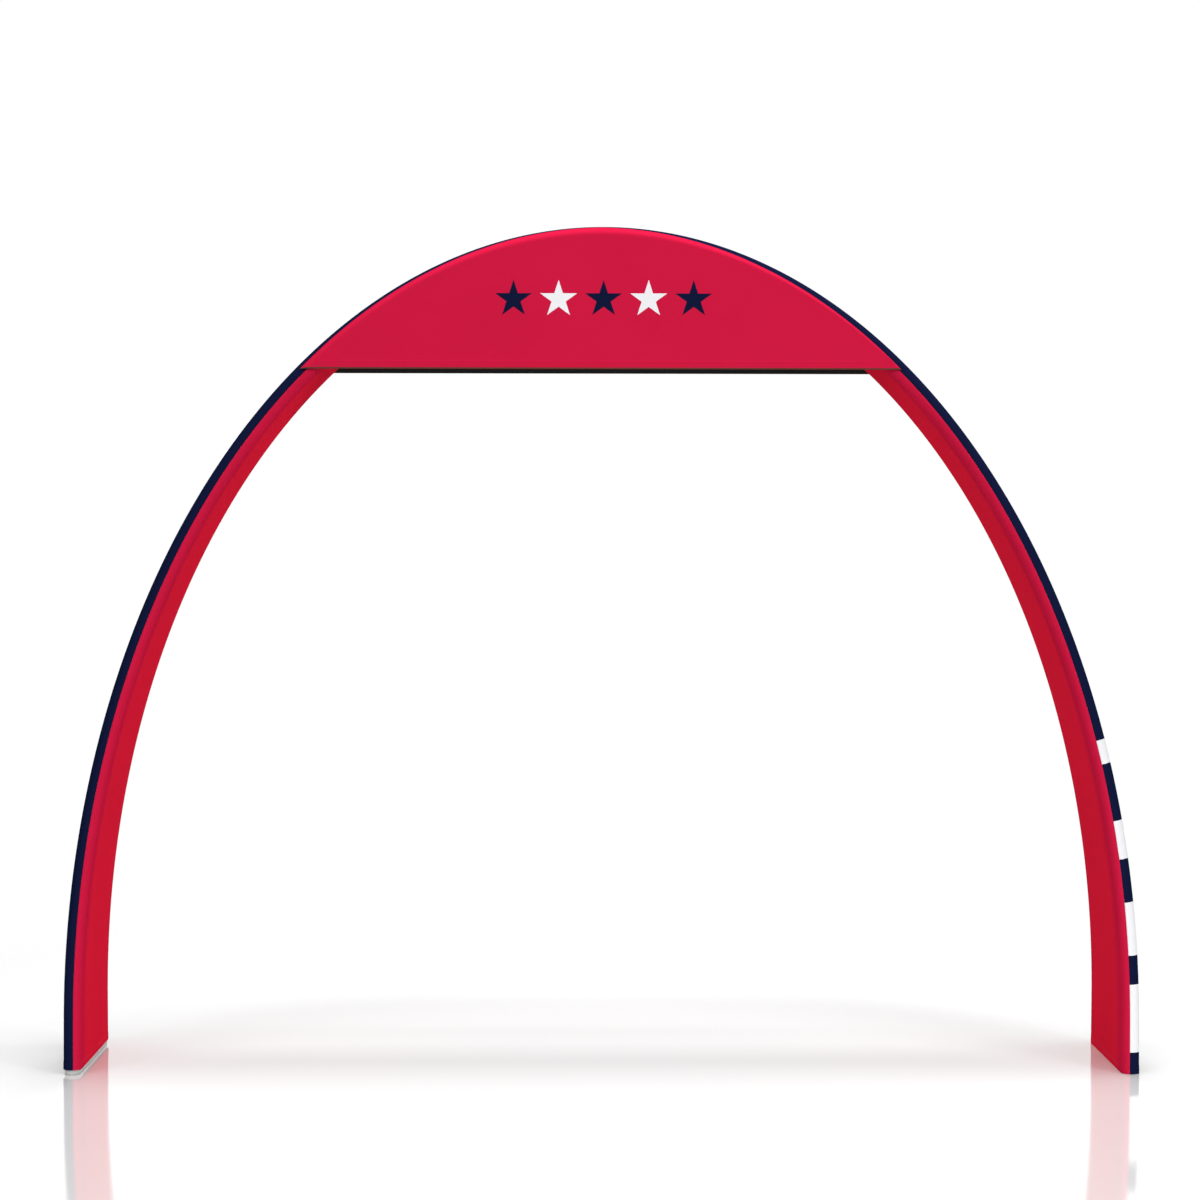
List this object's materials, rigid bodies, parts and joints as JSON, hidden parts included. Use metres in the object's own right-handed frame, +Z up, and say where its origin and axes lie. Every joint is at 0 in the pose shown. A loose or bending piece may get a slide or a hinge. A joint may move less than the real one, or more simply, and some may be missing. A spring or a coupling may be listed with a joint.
{
  "type": "archway banner stand, a cloth cover on a tube frame",
  "caption": "Wide half-oval archway of taut sewn cloth over a leaning tube frame, with a segment-shaped header banner across its top, to walk through at an event.",
  "frame": {"origin": "on the floor, in the middle of the passage between the two legs", "axes": "+Z up, +X along the span towards the right leg as seen from the front, +Y through the passage from front to back"},
  "size_m": [3, 0.489, 2.36],
  "materials": {
    "red_cloth": "fine stretch knit, printed, matt with a soft sheen",
    "navy_cloth": "fine stretch knit, printed, matt with a soft sheen",
    "dark_cloth": "plain dark knit, matt",
    "tube": "mill finish, drawn",
    "foot_plate": "pale powder coat, satin"
  },
  "bodies": {
    "root": {"outer_band": "navy_cloth", "inner_band_left": "red_cloth", "inner_band_right": "red_cloth", "header_front": "red_cloth", "header_back": "red_cloth", "header_underside": "dark_cloth", "arch_tube_front": "tube", "arch_tube_back": "tube", "header_rail_front": "tube", "header_rail_back": "tube", "spreader_left_1": "tube", "spreader_left_2": "tube", "spreader_right_1": "tube", "spreader_right_2": "tube", "spreader_top": "tube", "foot_plate_left": "foot_plate", "foot_plate_right": "foot_plate"}
  },
  "joints": []
}
